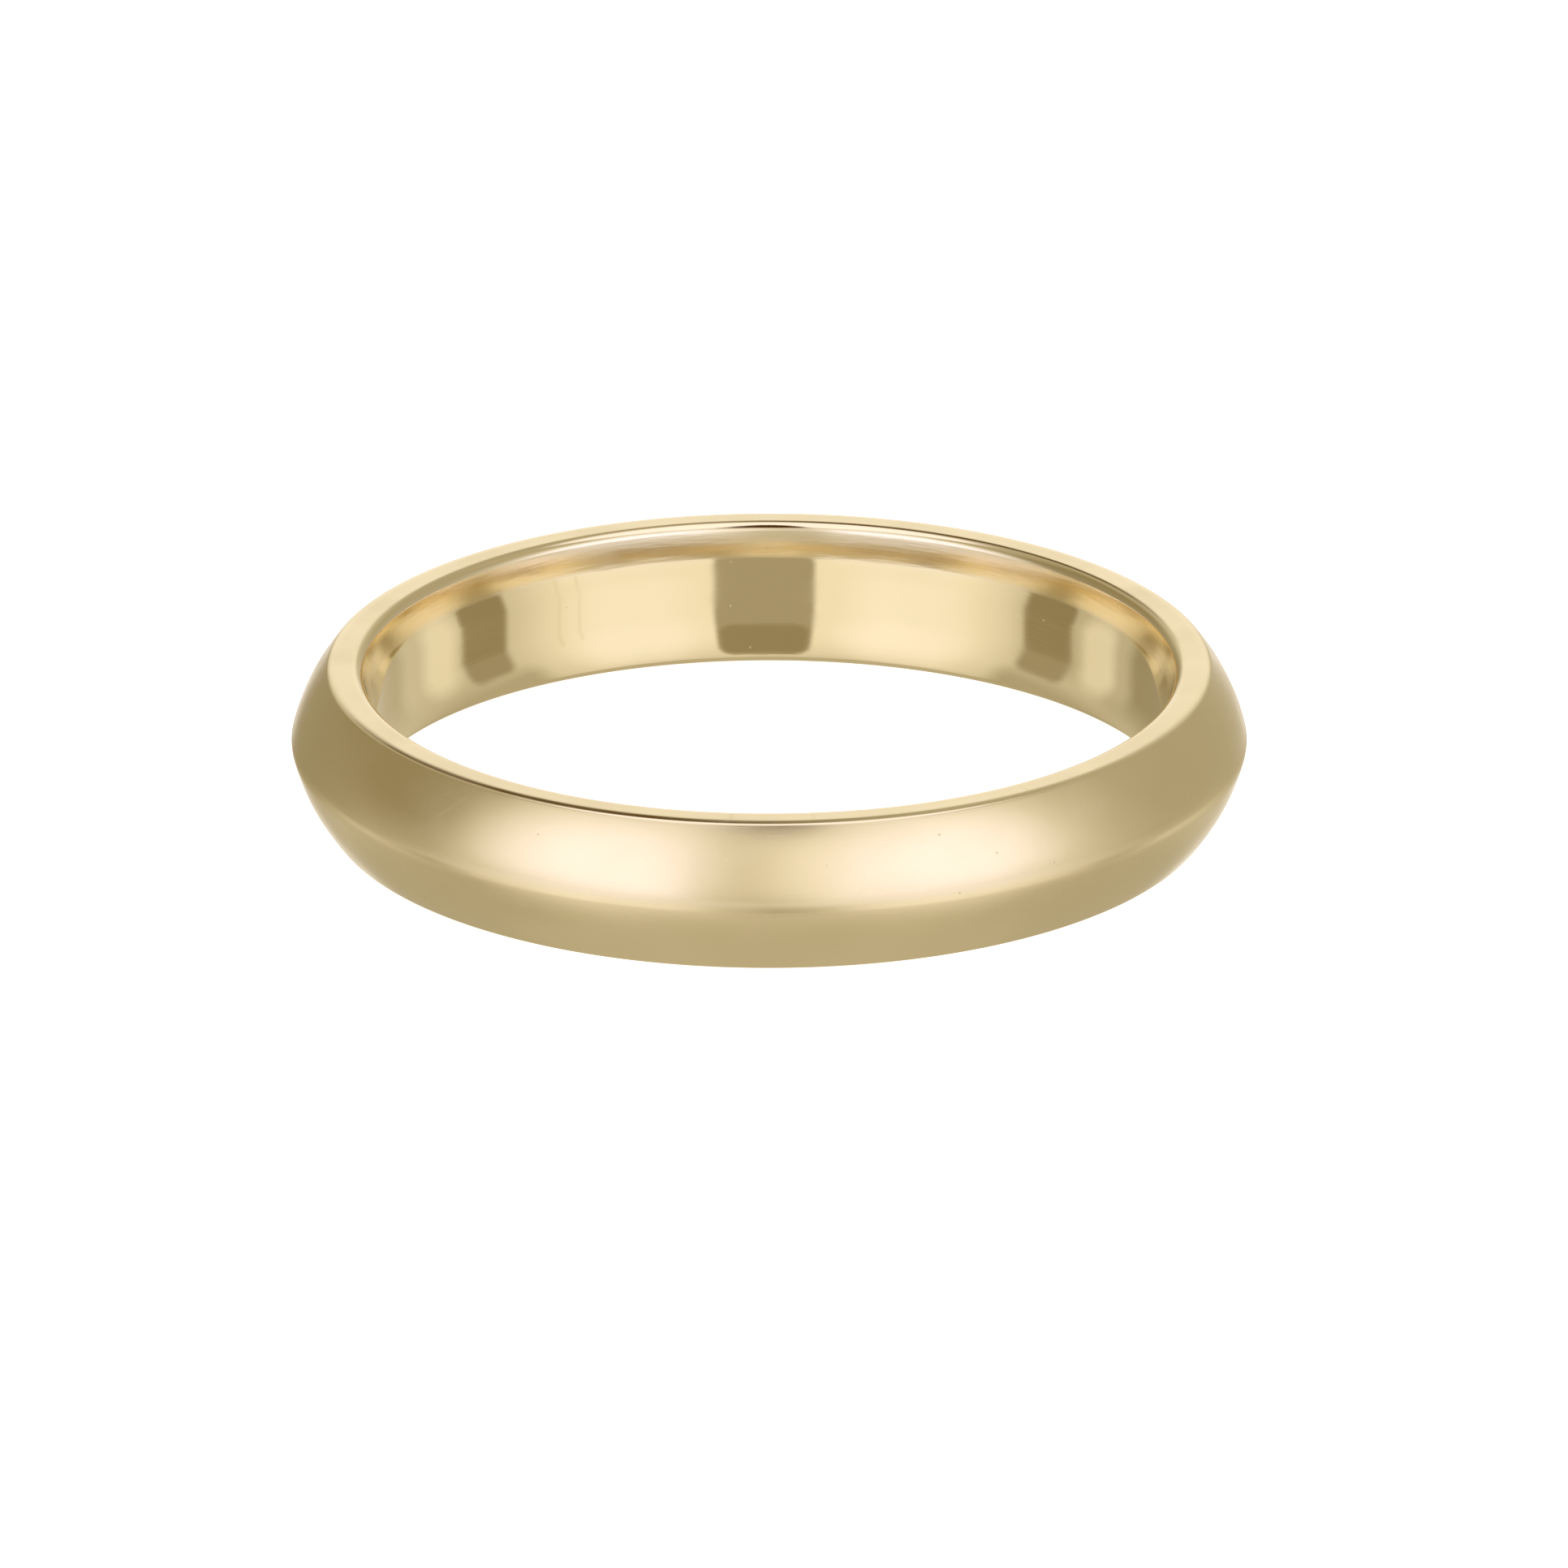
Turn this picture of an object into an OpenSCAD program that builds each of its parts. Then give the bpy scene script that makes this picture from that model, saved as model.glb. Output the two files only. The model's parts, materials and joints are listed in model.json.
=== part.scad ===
// Plain wedding band: one solid ring of yellow gold. Its outside rises from both side
// faces to a soft ridge round the middle, its side faces are flat, and its bore opens out
// softly at both ends. It lies on one side face, at z = 0, with its axis on +Z.

/* [Ring size] */
// Smallest diameter of the bore, which is the ring's size
inner_d = 16.5; // [13:0.1:23]

/* [Band] */
// Width of the band, along the ring's axis
band_w = 3.15; // [2.6:0.05:6]
// Thickness of the metal at the top of the ridge
crown_t = 1.6; // [1.3:0.05:1.95]
// Width of each side face, from the bore's rounded edge out to the foot of the flank
side_face_w = 0.56; // [0.4:0.02:0.7]
// Steepness of the flanks where they meet at the ridge: 0 is a round dome, 1 flat bevels
ridge_share = 0.55; // [0.3:0.05:0.8]

/* [Bore] */
// Length of the straight land in the middle of the bore
land_l = 0.8; // [0.4:0.1:1.6]
// How far the bore opens out at each end, measured on the radius
bore_relief = 0.16; // [0.06:0.02:0.2]

/* [Edges] */
// Radius of the edge between the bore and a side face
bore_edge_r = 0.16; // [0.1:0.02:0.2]
// Radius of the edge between a side face and a flank
flank_edge_r = 0.12; // [0.06:0.02:0.2]
// Radius that softens the ridge
ridge_r = 0.4; // [0.2:0.05:0.8]

/* [Hidden] */
$fn = 180;
// What the disc of a rounded edge is made too big by, to give it clean ends
hair = 0.0002;

inner_r = inner_d / 2;
crown_r = inner_r + crown_t;
mid_z = band_w / 2;

// The bore opens out on an arc that leaves the land without a corner. Its radius is
// rounded to a micron, so that the arc and the land meet in one clean line.
relief_l = (band_w - land_l) / 2;
exact_relief_r = (relief_l * relief_l + bore_relief * bore_relief) / (2 * bore_relief);
relief_r = round(1000 * exact_relief_r) / 1000;

// The bore's edge is a small arc tangent to the relief and to the side face
bore_edge_h = relief_l - bore_edge_r;
bore_edge_c = inner_r + relief_r - sqrt(pow(relief_r - bore_edge_r, 2) - pow(bore_edge_h, 2));
relief_tilt = asin(bore_edge_h / (relief_r - bore_edge_r));

// Where the softened ridge hands over to a flank, measured from the middle of the band
foot_r = bore_edge_c + side_face_w;
ridge_tilt = ridge_share * atan((crown_r - foot_r) / mid_z);
touch_r = crown_r - ridge_r * (1 - cos(ridge_tilt));
touch_h = ridge_r * sin(ridge_tilt);

// A flank is one arc, from there to the outer rim of its side face
flank_rise = touch_r - foot_r;
flank_l = mid_z - touch_h;
flank_r = (flank_rise * flank_rise + flank_l * flank_l)
    / (2 * (flank_rise * cos(ridge_tilt) - flank_l * sin(ridge_tilt)));
flank_c = touch_r - flank_r * cos(ridge_tilt);
flank_drop = flank_r * sin(ridge_tilt) - touch_h;

// The flank's edge is a small arc tangent to the side face and to the flank
flank_edge_h = mid_z - flank_edge_r + flank_drop;
flank_edge_c = flank_c + sqrt(pow(flank_r - flank_edge_r, 2) - pow(flank_edge_h, 2));
flank_tilt = asin(flank_edge_h / (flank_r - flank_edge_r));

// The section without its rounded edges, centred on the middle of the band
module plain_section() {
    intersection() {
        translate([0, -mid_z]) square([2 * crown_r, band_w]);
        intersection_for(side = [-1, 1])
            translate([flank_c, side * flank_drop]) circle(flank_r);
        union() {
            translate([inner_r, -land_l / 2]) square([crown_t, land_l]);
            for (end = [-1, 1])
                translate([inner_r + relief_r, end * land_l / 2]) circle(relief_r);
        }
    }
}

// What a rounded edge takes off a corner: a wedge between the two directions that its arc
// spans, less the arc's own disc. The disc is a hair too big, so that its arc crosses the
// faces beside it in a clean line, where an exact one would only touch them.
module edge_cut(centre, r, from_a, to_a) {
    reach = 3 * r;
    mid_a = (from_a + to_a) / 2;
    translate(centre)
        difference() {
            polygon([
                [0, 0],
                reach * [cos(from_a), sin(from_a)],
                reach * [cos(mid_a), sin(mid_a)],
                reach * [cos(to_a), sin(to_a)]
            ]);
            circle(r + hair);
        }
}

module top_edge_cuts() {
    edge_cut([flank_edge_c, mid_z - flank_edge_r], flank_edge_r, flank_tilt, 90);
    edge_cut([bore_edge_c, mid_z - bore_edge_r], bore_edge_r, 90, 180 - relief_tilt);
}

module ridge_cut() {
    edge_cut([crown_r - ridge_r, 0], ridge_r, -ridge_tilt, ridge_tilt);
}

// The band's section, standing on its lower side face
module section() {
    translate([0, mid_z])
        difference() {
            plain_section();
            ridge_cut();
            top_edge_cuts();
            mirror([0, 1]) top_edge_cuts();
        }
}

// The whole ring, turned in one piece
module band() {
    color("goldenrod") rotate_extrude() section();
}

band();
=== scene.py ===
import json
import math

import bpy
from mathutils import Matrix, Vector


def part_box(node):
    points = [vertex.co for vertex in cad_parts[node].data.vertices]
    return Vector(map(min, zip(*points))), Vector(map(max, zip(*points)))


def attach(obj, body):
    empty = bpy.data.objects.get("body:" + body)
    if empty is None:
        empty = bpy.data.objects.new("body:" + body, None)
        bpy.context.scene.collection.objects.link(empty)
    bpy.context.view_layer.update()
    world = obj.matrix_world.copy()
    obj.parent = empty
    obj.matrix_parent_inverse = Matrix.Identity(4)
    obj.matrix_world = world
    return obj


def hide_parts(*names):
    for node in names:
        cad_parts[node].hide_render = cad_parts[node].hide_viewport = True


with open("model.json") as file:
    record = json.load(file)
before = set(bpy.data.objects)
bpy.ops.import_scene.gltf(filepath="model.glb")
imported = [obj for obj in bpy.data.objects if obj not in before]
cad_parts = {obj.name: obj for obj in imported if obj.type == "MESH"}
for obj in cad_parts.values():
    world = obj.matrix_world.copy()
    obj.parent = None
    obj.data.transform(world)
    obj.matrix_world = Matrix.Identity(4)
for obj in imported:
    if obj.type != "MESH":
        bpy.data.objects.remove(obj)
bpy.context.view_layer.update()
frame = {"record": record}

MM = 0.001

# The band's own sizes: the width from its box, the bore and its land from its mount, and
# the others as in the part's source
band_low, band_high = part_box("band")
band_w = band_high.z - band_low.z
mid_z = (band_low.z + band_high.z) / 2
mounts = {mount["name"]: mount for mount in frame["record"]["mounts"]}
bore_r = mounts["finger_bore"]["dims"]["r_mm"] * MM
land_l = mounts["finger_bore"]["dims"]["length_mm"] * MM
crown_t = 1.6 * MM
crown_r = bore_r + crown_t
bore_relief = 0.16 * MM
side_face_w = 0.56 * MM
bore_edge_r = 0.16 * MM
flank_edge_r = 0.12 * MM
ridge_r = 0.4 * MM
ridge_share = 0.55

# Polishing has let the side faces fall away softly before their edges
soft_out_r = 0.6 * MM
soft_out_turn = 14
soft_in_r = 0.24 * MM
soft_in_turn = 58

# Steps round the ring, and along each arc of its section
RING_STEPS = 512
RIDGE_STEPS = 12
FLANK_STEPS = 20
FLANK_EDGE_STEPS = 8
BORE_EDGE_STEPS = 5
RELIEF_STEPS = 16
SOFT_OUT_STEPS = 4
SOFT_IN_STEPS = 10
STRAIGHT_SHARES = (0.1, 0.2, 0.4, 0.2, 0.1)

# Points of the section closer than this are one point
weld = 0.0005 * MM

# The camera: a long lens, well away from the band and looking down on it
camera_angle = math.radians(21.07)
camera_away = 312 * MM
aim_right = 0.305 * MM
aim_up = 0.456 * MM
sensor_w = 36
lens = 346.6

# The gold, darker in a speck, and paler on the bore's upper turned end: that paler gold is a
# painted reflection, standing in for the tan tone its reflections take there
GOLD_LIGHT = (0.912, 0.786, 0.512)
GOLD_DEEP = (0.884, 0.760, 0.488)
GOLD_PAINTED_REFLECTION = (0.93, 0.82, 0.60)
GOLD_SPECK = (0.45, 0.34, 0.17)
SPECK_SHARE = 0.4

# Roughness of the side faces, and how much each other place or mark adds or takes off
SIDE_FACE_ROUGH = 0.18
BORE_SMOOTHER = 0.13
FLANK_ROUGHER = 0.06
RIDGE_ROUGHER = 0.10
TURNED_ROUGHER = 0.11
MARK_ROUGHER = 0.04
SPECK_ROUGHER = 0.2
SMEAR_SMOOTHER = -0.015
SMEAR_ROUGHER = 0.035

# Depths of the surface's unevenness, in metres
turning_depth = 0.35e-6
bore_turning_depth = 0.25e-6
turned_end_depth = 1.1e-6
wave_depth = 6e-6
mark_depth = 0.15e-6
speck_depth = 1.6e-6

# Where one surface's look goes over to the next, in millimetres: widths on the radius, and
# for the bore's turned end heights above the band's middle
bore_fade = 0.12
foot_out = 0.13
foot_before = 0.08
foot_after = 0.05
ridge_fade = 0.05
turned_fade_r = 0.02
turned_start_z = 0.80
turned_full_z = 0.88

# Slanted and level scratches: lean, place in the noise, and how rare they are
SLANTED_ONE = (0.8, 3.0, 0.56)
SLANTED_TWO = (-0.45, 11.0, 0.6)
LEVEL_MARKS = (0.05, 23.0, 0.55)


def leave_edit_mode():
    """Back to object mode, where whole pieces are handled."""
    if bpy.context.object and bpy.context.object.mode != "OBJECT":
        bpy.ops.object.mode_set(mode="OBJECT")


def start_point(name, r, z):
    """A new piece with a single point of the section, at radius r and height z."""
    leave_edit_mode()
    bpy.ops.object.select_all(action="DESELECT")
    bpy.ops.mesh.primitive_plane_add(size=bore_edge_r, location=(r, 0, z))
    piece = bpy.context.object
    piece.name = name
    piece.data.name = name
    bpy.ops.object.transform_apply(location=True, rotation=True, scale=True)
    bpy.ops.object.mode_set(mode="EDIT")
    bpy.ops.mesh.select_all(action="SELECT")
    bpy.ops.mesh.merge(type="CENTER")
    bpy.ops.mesh.select_mode(type="VERT")
    return piece


def arc_on(centre_r, centre_z, degrees, steps):
    """Carries the section on from its selected end, round a centre. Positive turns run
    from the lower side face up over the ridge."""
    bpy.ops.mesh.spin(
        steps=steps, angle=math.radians(degrees), use_auto_merge=False,
        center=(centre_r, 0, centre_z), axis=(0, 1, 0),
    )


def line_on(dr, dz):
    """Carries the section on in a straight line, with finer steps at both of its ends."""
    for share in STRAIGHT_SHARES:
        bpy.ops.mesh.extrude_region_move(
            TRANSFORM_OT_translate={"value": (dr * share, 0, dz * share)}
        )


def soft_fall(soft_r, edge_r, turn):
    """How far a softened side face runs before its edge, and how far it has fallen there."""
    angle = math.radians(turn)
    return (soft_r - edge_r) * math.sin(angle), (soft_r - edge_r) * (1 - math.cos(angle))


def section_arcs():
    """Centres and turns of the arcs that the section is made of."""
    in_run, in_fall = soft_fall(soft_in_r, bore_edge_r, soft_in_turn)
    out_run, out_fall = soft_fall(soft_out_r, flank_edge_r, soft_out_turn)
    relief_l = (band_w - land_l) / 2
    relief_r = (relief_l**2 + bore_relief**2) / (2 * bore_relief)
    bore_edge_h = relief_l - bore_edge_r - in_fall
    bore_edge_c = bore_r + relief_r - math.sqrt((relief_r - bore_edge_r) ** 2 - bore_edge_h**2)
    relief_turn = math.degrees(math.asin(bore_edge_h / (relief_r - bore_edge_r)))
    foot_r = bore_edge_c + side_face_w

    # The softened ridge hands over to a flank at this tilt
    tilt = ridge_share * math.atan((crown_r - foot_r) / (band_w / 2))
    touch_r = crown_r - ridge_r * (1 - math.cos(tilt))
    touch_h = ridge_r * math.sin(tilt)
    rise = touch_r - foot_r
    length = band_w / 2 - touch_h
    flank_r = (rise**2 + length**2) / (2 * (rise * math.cos(tilt) - length * math.sin(tilt)))
    flank_c = touch_r - flank_r * math.cos(tilt)
    flank_drop = flank_r * math.sin(tilt) - touch_h
    edge_h = band_w / 2 - flank_edge_r - out_fall + flank_drop
    flank_edge_c = flank_c + math.sqrt((flank_r - flank_edge_r) ** 2 - edge_h**2)
    foot_tilt = math.asin(edge_h / (flank_r - flank_edge_r))
    return {
        "relief_r": relief_r, "relief_turn": relief_turn,
        "bore_edge_c": bore_edge_c, "bore_edge_depth": bore_edge_r + in_fall,
        "bore_edge_turn": 90 - relief_turn - soft_in_turn, "side_start": bore_edge_c + in_run,
        "side_end": flank_edge_c - out_run, "flank_edge_c": flank_edge_c,
        "flank_edge_depth": flank_edge_r + out_fall,
        "flank_edge_turn": 90 - math.degrees(foot_tilt) - soft_out_turn,
        "flank_c": flank_c, "flank_drop": flank_drop,
        "flank_turn": math.degrees(foot_tilt - tilt), "ridge_turn": math.degrees(2 * tilt),
    }


def draw_lower_side(arcs):
    """The lower side face, from the bore's edge out to the foot of the flank."""
    floor_z = band_low.z
    line_on(arcs["side_end"] - arcs["side_start"], 0)
    arc_on(arcs["side_end"], floor_z + soft_out_r, soft_out_turn, SOFT_OUT_STEPS)
    arc_on(arcs["flank_edge_c"], floor_z + arcs["flank_edge_depth"], arcs["flank_edge_turn"],
           FLANK_EDGE_STEPS)


def draw_outside(arcs):
    """Lower flank, ridge and upper flank."""
    arc_on(arcs["flank_c"], mid_z + arcs["flank_drop"], arcs["flank_turn"], FLANK_STEPS)
    arc_on(crown_r - ridge_r, mid_z, arcs["ridge_turn"], RIDGE_STEPS)
    arc_on(arcs["flank_c"], mid_z - arcs["flank_drop"], arcs["flank_turn"], FLANK_STEPS)


def draw_upper_side(arcs):
    """The upper side face, from the top of the flank in to the bore's edge."""
    top_z = band_high.z
    arc_on(arcs["flank_edge_c"], top_z - arcs["flank_edge_depth"], arcs["flank_edge_turn"],
           FLANK_EDGE_STEPS)
    arc_on(arcs["side_end"], top_z - soft_out_r, soft_out_turn, SOFT_OUT_STEPS)
    line_on(arcs["side_start"] - arcs["side_end"], 0)
    arc_on(arcs["side_start"], top_z - soft_in_r, soft_in_turn, SOFT_IN_STEPS)


def draw_bore(arcs):
    """The bore from its upper edge over the straight land to its lower edge."""
    relief_centre_r = bore_r + arcs["relief_r"]
    edge_turn = arcs["bore_edge_turn"]
    arc_on(arcs["bore_edge_c"], band_high.z - arcs["bore_edge_depth"], edge_turn, BORE_EDGE_STEPS)
    arc_on(relief_centre_r, mid_z + land_l / 2, arcs["relief_turn"], RELIEF_STEPS)
    line_on(0, -land_l)
    arc_on(relief_centre_r, mid_z - land_l / 2, arcs["relief_turn"], RELIEF_STEPS)
    arc_on(arcs["bore_edge_c"], band_low.z + arcs["bore_edge_depth"], edge_turn, BORE_EDGE_STEPS)
    arc_on(arcs["side_start"], band_low.z + soft_in_r, soft_in_turn, SOFT_IN_STEPS)


def make_band():
    """The section's outline, drawn once round from the lower side face over the ridge and
    back down the bore, then spun once round the ring's axis."""
    arcs = section_arcs()
    band = start_point("ring", arcs["side_start"], band_low.z)
    draw_lower_side(arcs)
    draw_outside(arcs)
    draw_upper_side(arcs)
    draw_bore(arcs)

    bpy.ops.mesh.select_all(action="SELECT")
    bpy.ops.mesh.remove_doubles(threshold=weld)
    bpy.ops.mesh.select_all(action="SELECT")
    bpy.ops.mesh.spin(
        steps=RING_STEPS, angle=math.tau, use_auto_merge=True,
        center=(0, 0, 0), axis=(0, 0, 1),
    )
    bpy.ops.mesh.select_all(action="SELECT")
    bpy.ops.mesh.remove_doubles(threshold=weld)
    bpy.ops.mesh.normals_make_consistent(inside=False)
    leave_edit_mode()
    bpy.ops.object.shade_smooth()
    return band


def calc(tree, operation, first, second=0.0, clamp=False):
    """One sum on sockets or numbers."""
    node = tree.nodes.new("ShaderNodeMath")
    node.operation = operation
    node.use_clamp = clamp
    for slot, value in zip(node.inputs, (first, second)):
        if isinstance(value, bpy.types.NodeSocket):
            tree.links.new(value, slot)
        else:
            slot.default_value = value
    return node.outputs[0]


def ramp(tree, value, start, end, low=0.0, high=1.0):
    """A value that goes softly from low to high while another goes from start to end."""
    node = tree.nodes.new("ShaderNodeMapRange")
    node.interpolation_type = "SMOOTHSTEP"
    tree.links.new(value, node.inputs["Value"])
    node.inputs["From Min"].default_value = start
    node.inputs["From Max"].default_value = end
    node.inputs["To Min"].default_value = low
    node.inputs["To Max"].default_value = high
    return node.outputs["Result"]


def patch(tree, bearing, height, centre, size, corner, soft):
    """1 on a rounded patch of the tent and 0 outside it, with a soft edge."""
    turned = calc(tree, "ABSOLUTE", calc(tree, "SUBTRACT", bearing, centre[0]))
    turned = calc(tree, "MINIMUM", turned, calc(tree, "SUBTRACT", 360.0, turned))
    raised = calc(tree, "ABSOLUTE", calc(tree, "SUBTRACT", height, centre[1]))
    beside = calc(tree, "MAXIMUM", calc(tree, "SUBTRACT", turned, size[0] - corner), 0.0)
    above = calc(tree, "MAXIMUM", calc(tree, "SUBTRACT", raised, size[1] - corner), 0.0)
    squares = calc(tree, "ADD", calc(tree, "POWER", beside, 2.0), calc(tree, "POWER", above, 2.0))
    away = calc(tree, "SQRT", squares)
    return ramp(tree, away, corner - soft, corner + soft, 1.0, 0.0)


def mix(tree, amount, base, top):
    """A colour that goes over to another by an amount."""
    node = tree.nodes.new("ShaderNodeMix")
    node.data_type = "RGBA"
    tree.links.new(amount, node.inputs["Factor"])
    for slot, value in ((node.inputs[6], base), (node.inputs[7], top)):
        if isinstance(value, bpy.types.NodeSocket):
            tree.links.new(value, slot)
        else:
            slot.default_value = (*value, 1)
    return node.outputs[2]


# The light tent, panel by panel. Bearing is measured from the camera's side towards +X and
# height from the table, in degrees: centre, half size, corner, softness, then the light.
TENT = (
    ("lower tent", (0, -90), (360, 44), 6, 6, 0.50),
    ("left side", (-116, 26), (36, 30), 18, 15, 0.27),
    ("left far side", (-142, -8), (28, 20), 12, 9, 0.31),
    ("right side", (124, 16), (34, 40), 18, 15, 0.42),
    ("left shoulder", (-85, 60), (50, 9), 8, 7, 0.42),
    ("right shoulder", (88, 60), (50, 9), 8, 7, 0.46),
    ("left low side", (-104, -19), (26, 9), 6, 5, 0.52),
    ("right low side", (106, -19), (28, 9), 6, 5, 0.62),
    ("left far glow", (-112, -21), (8, 7), 7, 4, 0.78),
    ("right far glow", (112, -20), (8, 8), 7, 5, 0.84),
    ("front", (0, 4), (72, 50), 20, 16, 0.94),
    ("left glow", (-40, 22), (26, 26), 22, 16, 1.24),
    ("right glow", (42, 22), (26, 26), 22, 16, 1.24),
    ("left low glow", (-41, -30), (18, 12), 12, 9, 1.06),
    ("right low glow", (41, -30), (18, 12), 12, 9, 1.06),
    ("left low tent", (-122, -46), (46, 13), 6, 5, 0.43),
    ("right low tent", (122, -46), (46, 13), 6, 5, 0.45),
    ("left post", (-89.5, -21.5), (9.5, 10.5), 4, 2, 0.33),
    ("right post", (92, -21.5), (9, 10.5), 4, 2, 0.33),
    ("left post's head", (-89.5, -16), (9.5, 5.5), 3, 1.6, 0.26),
    ("right post's head", (92, -16), (9, 5.5), 3, 1.6, 0.27),
    ("horizon strip", (0, 4), (75, 2.4), 1, 1.4, 0.55),
    ("first seam", (64, -18), (0.6, 9), 0.6, 0.6, 0.82),
    ("second seam", (57, -18), (0.4, 8), 0.4, 0.5, 0.86),
    ("upper slot", (-8, 28), (9.5, 26), 8, 7, 0.68),
    ("slot's top", (-4, 2), (12, 9), 5, 5, 0.53),
    ("camera slot", (1.5, -26), (14.5, 20), 6, 1.2, 0.375),
    ("slot's foot", (1.5, -36), (13.5, 9), 5, 1.6, 0.28),
    ("back low", (180, -18), (16, 18), 8, 5, 1.05),
    ("back window", (180, 12), (12, 14), 6, 4, 0.98),
    ("back shoulder", (180, 46), (40, 16), 8, 5, 0.42),
    ("back gap", (-172, 45), (9, 17), 6, 3, 0.05),
    ("top", (0, 90), (360, 29), 4, 4, 1.18),
    ("top slit", (1.5, 67), (18, 16), 13, 2, 0.03),
)

# The tent's cloth where no panel covers it
CLOTH_LEVEL = 0.62


def glow(level):
    """A light of the tent: warm in its dim parts, near white on the cloth, cooler in a lamp."""
    cloth = max(level - 0.9, 0.0)
    lamp = max(level - 1.03, 0.0)
    return (level + 0.05, level, level - 0.11 + 0.5 * cloth + lamp)


def make_tent():
    """Lays the panels over the tent's plain cloth, each one over those before it."""
    world = bpy.data.worlds.new("light_tent")
    bpy.context.scene.world = world
    world.use_nodes = True
    tree = world.node_tree
    look = tree.nodes.new("ShaderNodeTexCoord")
    parts = tree.nodes.new("ShaderNodeSeparateXYZ")
    tree.links.new(look.outputs["Generated"], parts.inputs[0])
    toward = calc(tree, "MULTIPLY", parts.outputs["Y"], -1.0)
    bearing = calc(tree, "DEGREES", calc(tree, "ARCTAN2", parts.outputs["X"], toward))
    height = calc(tree, "DEGREES", calc(tree, "ARCSINE", parts.outputs["Z"]))
    light = glow(CLOTH_LEVEL)
    for name, centre, size, corner, soft, level in TENT:
        panel = patch(tree, bearing, height, centre, size, corner, soft)
        panel.node.label = name
        light = mix(tree, panel, light, glow(level))
    tree.links.new(light, tree.nodes["Background"].inputs["Color"])
    tree.nodes["Background"].inputs["Strength"].default_value = 1.0


def make_floor():
    """The pale table top. The gold mirrors the tent alone, as it would on clear glass."""
    leave_edit_mode()
    bpy.ops.object.select_all(action="DESELECT")
    bpy.ops.mesh.primitive_plane_add(size=20.0, location=(0, 0, band_low.z))
    floor = bpy.context.object
    floor.name = "floor"
    material = bpy.data.materials.new("floor_white")
    material.use_nodes = True
    shader = material.node_tree.nodes["Principled BSDF"]
    shader.inputs["Base Color"].default_value = (0.9, 0.9, 0.9, 1)
    shader.inputs["Roughness"].default_value = 0.9
    shader.inputs["Emission Color"].default_value = (1, 1, 1, 1)
    shader.inputs["Emission Strength"].default_value = 0.8
    floor.data.materials.append(material)
    floor.visible_glossy = False
    floor.visible_diffuse = False
    floor.visible_transmission = False
    floor.visible_shadow = False


def joined(tree, x, y, z):
    """A vector put together from sockets or numbers."""
    node = tree.nodes.new("ShaderNodeCombineXYZ")
    for slot, value in zip(node.inputs, (x, y, z)):
        if isinstance(value, bpy.types.NodeSocket):
            tree.links.new(value, slot)
        else:
            slot.default_value = value
    return node.outputs[0]


def noise(tree, vector, scale, detail):
    """Soft noise between 0 and 1."""
    node = tree.nodes.new("ShaderNodeTexNoise")
    tree.links.new(vector, node.inputs["Vector"])
    node.inputs["Scale"].default_value = scale
    node.inputs["Detail"].default_value = detail
    return node.outputs[0]


def ring_places(tree):
    """Where on the ring a point lies, in millimetres: x, y, z and the way round the outside.
    Then, from 0 to 1, how much of it is bore, flank, ridge or the bore's turned upper end, which
    also carries the painted reflection tone."""
    place = tree.nodes.new("ShaderNodeTexCoord")
    parts = tree.nodes.new("ShaderNodeSeparateXYZ")
    tree.links.new(place.outputs["Object"], parts.inputs[0])
    x, y, z = (calc(tree, "DIVIDE", parts.outputs[axis], MM) for axis in "XYZ")
    across = calc(tree, "ADD", calc(tree, "MULTIPLY", x, x), calc(tree, "MULTIPLY", y, y))
    radius = calc(tree, "SQRT", across)
    angle = calc(tree, "ARCTAN2", x, calc(tree, "MULTIPLY", y, -1.0))
    bore_out = (bore_r + bore_relief) / MM
    foot = (bore_r + bore_relief + side_face_w) / MM + foot_out
    crown = crown_r / MM
    middle = mid_z / MM
    inside = ramp(tree, radius, bore_out - turned_fade_r, bore_out + turned_fade_r, 1.0, 0.0)
    upper = ramp(tree, z, middle + turned_start_z, middle + turned_full_z)
    return {
        "x": x, "y": y, "z": z,
        "way": calc(tree, "MULTIPLY", angle, crown),
        "bore": ramp(tree, radius, bore_out, bore_out + bore_fade, 1.0, 0.0),
        "flank": ramp(tree, radius, foot - foot_before, foot + foot_after),
        "ridge": ramp(tree, radius, crown - ridge_fade, crown),
        "turned": calc(tree, "MULTIPLY", inside, upper),
    }


def hairlines(tree, at, lean, seed, rarity):
    """Thin scratches that run round the ring with a lean, in scattered places."""
    along = calc(tree, "ADD", at["way"], calc(tree, "MULTIPLY", at["z"], lean))
    over = calc(tree, "SUBTRACT", at["z"], calc(tree, "MULTIPLY", at["way"], lean))
    strokes = joined(tree, calc(tree, "MULTIPLY", along, 0.035), over, seed)
    field = noise(tree, strokes, 3.4, 0.0)
    line = calc(tree, "ABSOLUTE", calc(tree, "SUBTRACT", field, 0.5))
    thin = ramp(tree, line, 0.0, 0.008, 1.0, 0.0)
    patches = joined(tree, calc(tree, "MULTIPLY", along, 0.2), over, seed + 7.0)
    where = noise(tree, patches, 1.1, 0.0)
    return calc(tree, "MULTIPLY", thin, ramp(tree, where, rarity, rarity + 0.08))


def pits(tree, at):
    """Sparse pits and specks of polish."""
    node = tree.nodes.new("ShaderNodeTexVoronoi")
    tree.links.new(joined(tree, at["x"], at["y"], at["z"]), node.inputs["Vector"])
    node.inputs["Scale"].default_value = 2.6
    dot = ramp(tree, node.outputs["Distance"], 0.035, 0.075, 1.0, 0.0)
    chance = tree.nodes.new("ShaderNodeSeparateColor")
    tree.links.new(node.outputs["Color"], chance.inputs[0])
    return calc(tree, "MULTIPLY", dot, ramp(tree, chance.outputs[0], 0.84, 0.86))


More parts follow.
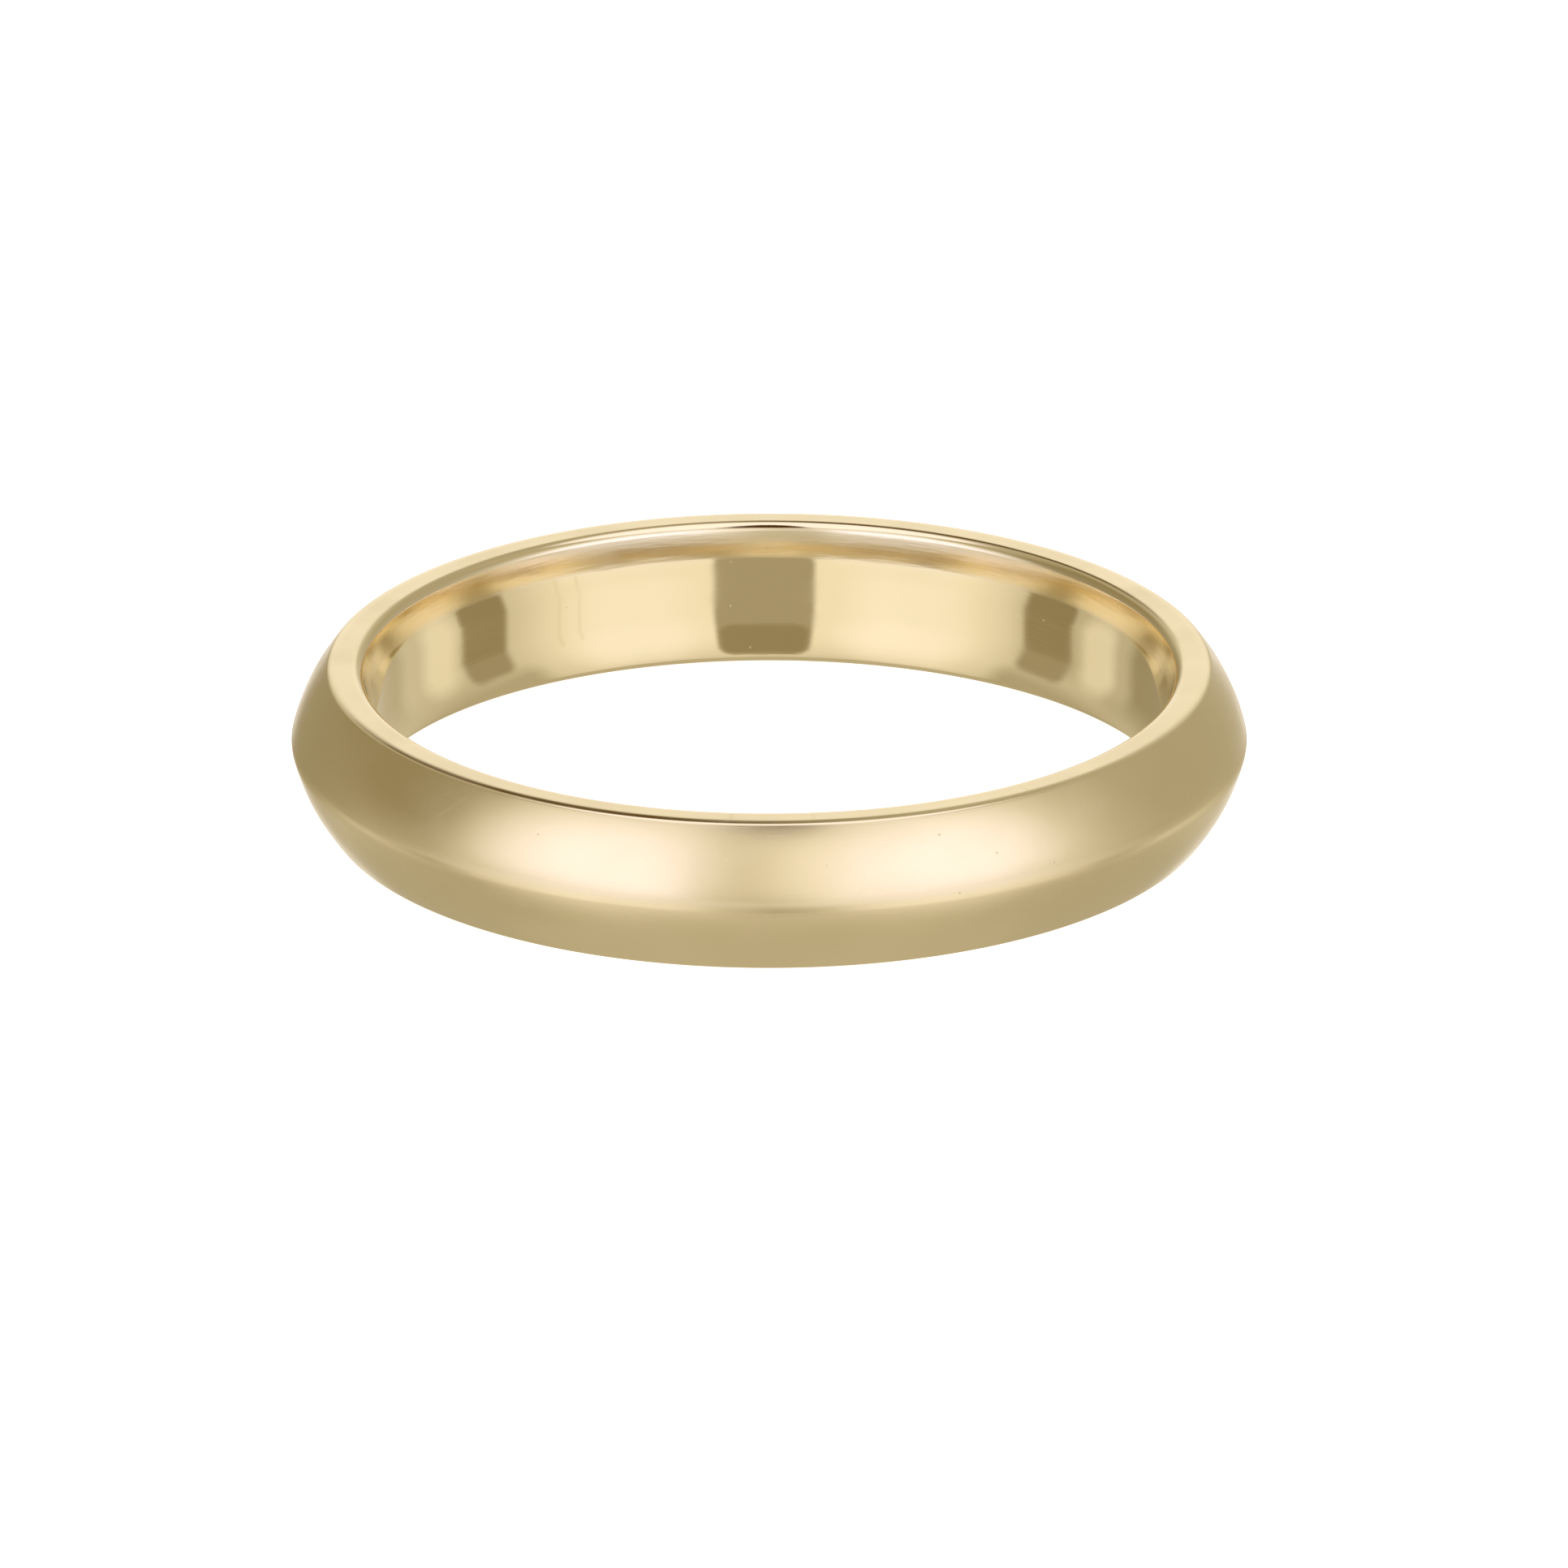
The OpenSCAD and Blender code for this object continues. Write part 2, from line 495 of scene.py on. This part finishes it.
def surface_height(tree, at, marks, specks):
    """The surface's small unevenness, in metres: turning lines, slow waves, marks, specks."""
    round_it = joined(tree, calc(tree, "MULTIPLY", at["x"], 0.1),
                      calc(tree, "MULTIPLY", at["y"], 0.1), at["z"])
    turning = noise(tree, round_it, 13.0, 3.0)
    waves = noise(tree, joined(tree, at["x"], at["y"], at["z"]), 0.55, 1.0)
    turned_end = calc(tree, "MULTIPLY", at["turned"], turned_end_depth)
    in_bore = calc(tree, "ADD", bore_turning_depth, turned_end)
    depth = calc(tree, "ADD", calc(tree, "MULTIPLY", at["bore"], in_bore), turning_depth)
    height = calc(tree, "MULTIPLY", turning, depth)
    height = calc(tree, "ADD", height, calc(tree, "MULTIPLY", waves, wave_depth))
    height = calc(tree, "SUBTRACT", height, calc(tree, "MULTIPLY", marks, mark_depth))
    return calc(tree, "SUBTRACT", height, calc(tree, "MULTIPLY", specks, speck_depth))


def gold_roughness(tree, at, marks, specks):
    """Bright bore with a duller upper end, satin side faces, softer flanks, softest ridge."""
    smoother = calc(tree, "MULTIPLY", at["bore"], BORE_SMOOTHER)
    rough = calc(tree, "SUBTRACT", SIDE_FACE_ROUGH, smoother)
    rough = calc(tree, "ADD", rough, calc(tree, "MULTIPLY", at["flank"], FLANK_ROUGHER))
    rough = calc(tree, "ADD", rough, calc(tree, "MULTIPLY", at["ridge"], RIDGE_ROUGHER))
    rough = calc(tree, "ADD", rough, calc(tree, "MULTIPLY", at["turned"], TURNED_ROUGHER))
    flattened = joined(tree, at["x"], at["y"], calc(tree, "MULTIPLY", at["z"], 2.0))
    smears = noise(tree, flattened, 0.7, 3.0)
    smeared = ramp(tree, smears, 0.35, 0.7, SMEAR_SMOOTHER, SMEAR_ROUGHER)
    rough = calc(tree, "ADD", rough, smeared)
    rough = calc(tree, "ADD", rough, calc(tree, "MULTIPLY", marks, MARK_ROUGHER))
    return calc(tree, "ADD", rough, calc(tree, "MULTIPLY", specks, SPECK_ROUGHER), clamp=True)


def make_gold():
    """Polished 14 carat gold with its toning, scratches, specks and turning lines, and a painted
    reflection: paler gold on the bore's upper end.
    """
    gold = bpy.data.materials.new("yellow_gold")
    gold.use_nodes = True
    tree = gold.node_tree
    shader = tree.nodes["Principled BSDF"]
    shader.inputs["Metallic"].default_value = 1
    at = ring_places(tree)
    one_way = hairlines(tree, at, *SLANTED_ONE)
    other_way = hairlines(tree, at, *SLANTED_TWO)
    slanted = calc(tree, "MAXIMUM", one_way, other_way)
    level = hairlines(tree, at, *LEVEL_MARKS)
    marks = calc(tree, "MAXIMUM", calc(tree, "MULTIPLY", slanted, at["flank"]), level)
    specks = pits(tree, at)

    toning = noise(tree, joined(tree, at["x"], at["y"], at["z"]), 0.35, 2.0)
    colour = mix(tree, ramp(tree, toning, 0.3, 0.7), GOLD_LIGHT, GOLD_DEEP)
    # Painted reflection: the bore's upper end is made a paler gold, standing in for the tan tone
    # its reflections take there; the turning there is real and lies in the roughness and bump
    colour = mix(tree, at["turned"], colour, GOLD_PAINTED_REFLECTION)
    colour = mix(tree, calc(tree, "MULTIPLY", specks, SPECK_SHARE), colour, GOLD_SPECK)
    tree.links.new(colour, shader.inputs["Base Color"])
    tree.links.new(gold_roughness(tree, at, marks, specks), shader.inputs["Roughness"])
    bump = tree.nodes.new("ShaderNodeBump")
    bump.inputs["Strength"].default_value = 1
    bump.inputs["Distance"].default_value = 1
    tree.links.new(surface_height(tree, at, marks, specks), bump.inputs["Height"])
    tree.links.new(bump.outputs["Normal"], shader.inputs["Normal"])
    return gold


def make_camera():
    """Looks at the band from its front, a little down, and level from side to side."""
    up = Vector((0, math.sin(camera_angle), math.cos(camera_angle)))
    back = Vector((0, -math.cos(camera_angle), math.sin(camera_angle)))
    aim = Vector((aim_right, 0, band_low.z)) + up * aim_up
    data = bpy.data.cameras.new("camera")
    data.sensor_width = sensor_w
    data.lens = lens
    data.clip_start = 0.02
    data.clip_end = 10
    camera = bpy.data.objects.new("camera", data)
    bpy.context.scene.collection.objects.link(camera)
    camera.location = aim + back * camera_away
    camera.rotation_euler = (math.pi / 2 - camera_angle, 0, 0)
    bpy.context.scene.camera = camera


make_camera()
band = make_band()
band.data.materials.append(make_gold())
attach(band, "root")
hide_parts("band")
make_floor()
make_tent()
bpy.context.scene.view_settings.view_transform = "Standard"
